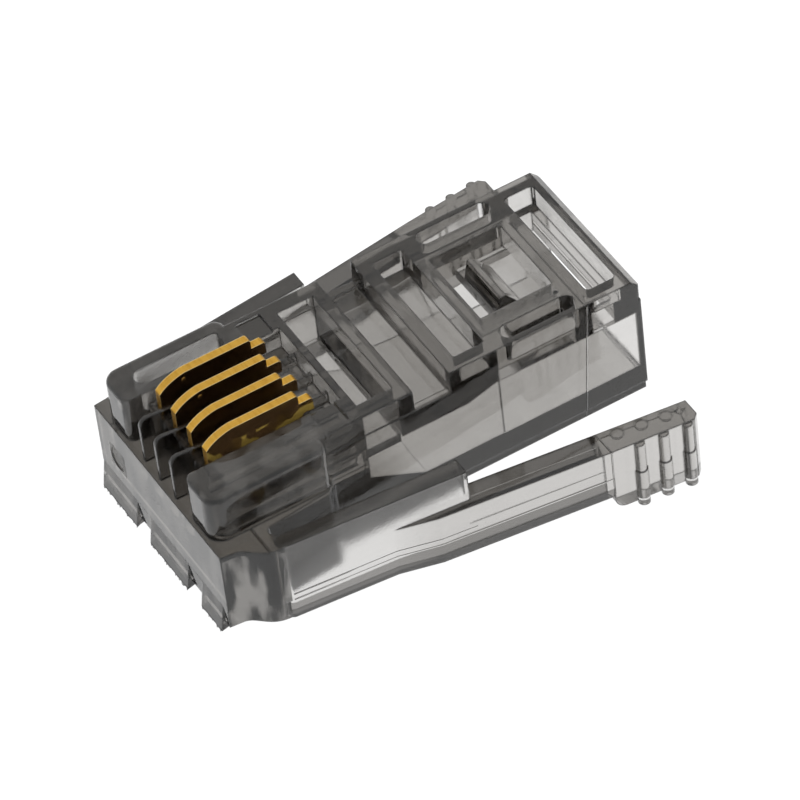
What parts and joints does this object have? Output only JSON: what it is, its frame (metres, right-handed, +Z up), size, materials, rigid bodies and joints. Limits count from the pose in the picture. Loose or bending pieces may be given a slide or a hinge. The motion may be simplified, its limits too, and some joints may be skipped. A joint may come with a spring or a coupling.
{
  "type": "modular plug",
  "caption": "Smoke-transparent modular plug with gold blade contacts, a sprung latch on each side, a conductor bar and a folding cable clamp, uncrimped.",
  "frame": {"origin": "centre of the plug's footprint, on the surface that it stands on", "axes": "+Y from the nose to the cable entry, +X to the plug's right seen from the cable side, +Z up through the contacts"},
  "size_m": [0.014, 0.0168, 0.0067],
  "materials": {
    "smoke_polycarbonate": "clear gloss moulded polycarbonate, smoke tint",
    "gold_contact": "gold plate over phosphor bronze, stamped"
  },
  "bodies": {
    "housing": {"housing": "smoke_polycarbonate"},
    "latch_right": {"latch_right": "smoke_polycarbonate"},
    "latch_left": {"latch_left": "smoke_polycarbonate"},
    "conductor_clamp": {"conductor_clamp": "smoke_polycarbonate"},
    "cable_clamp": {"cable_clamp": "smoke_polycarbonate"},
    "contact_1": {"contact_1": "gold_contact"},
    "contact_2": {"contact_2": "gold_contact"},
    "contact_3": {"contact_3": "gold_contact"},
    "contact_4": {"contact_4": "gold_contact"}
  },
  "joints": [
    {"name": "latch_right_flex", "type": "hinge", "parent": "housing", "child": "latch_right", "pos_m": [0.00467, -0.00617, 0.00247], "axis": [0, 0, 1], "range_deg": [0, 7], "stiffness_Nm_per_rad": 0.04},
    {"name": "latch_left_flex", "type": "hinge", "parent": "housing", "child": "latch_left", "pos_m": [-0.00467, -0.00617, 0.00247], "axis": [0, 0, -1], "range_deg": [0, 7], "stiffness_Nm_per_rad": 0.04},
    {"name": "conductor_clamp_press", "type": "slide", "parent": "housing", "child": "conductor_clamp", "axis": [0, 0, -1], "range_m": [0, 0.00045]},
    {"name": "cable_clamp_fold", "type": "hinge", "parent": "housing", "child": "cable_clamp", "pos_m": [0, 0.00604, 0.00497], "axis": [1, 0, 0], "range_deg": [0, 40]},
    {"name": "contact_1_press", "type": "slide", "parent": "housing", "child": "contact_1", "axis": [0, 0, -1], "range_m": [0, 0.00065]},
    {"name": "contact_2_press", "type": "slide", "parent": "housing", "child": "contact_2", "axis": [0, 0, -1], "range_m": [0, 0.00065]},
    {"name": "contact_3_press", "type": "slide", "parent": "housing", "child": "contact_3", "axis": [0, 0, -1], "range_m": [0, 0.00065]},
    {"name": "contact_4_press", "type": "slide", "parent": "housing", "child": "contact_4", "axis": [0, 0, -1], "range_m": [0, 0.00065]}
  ]
}
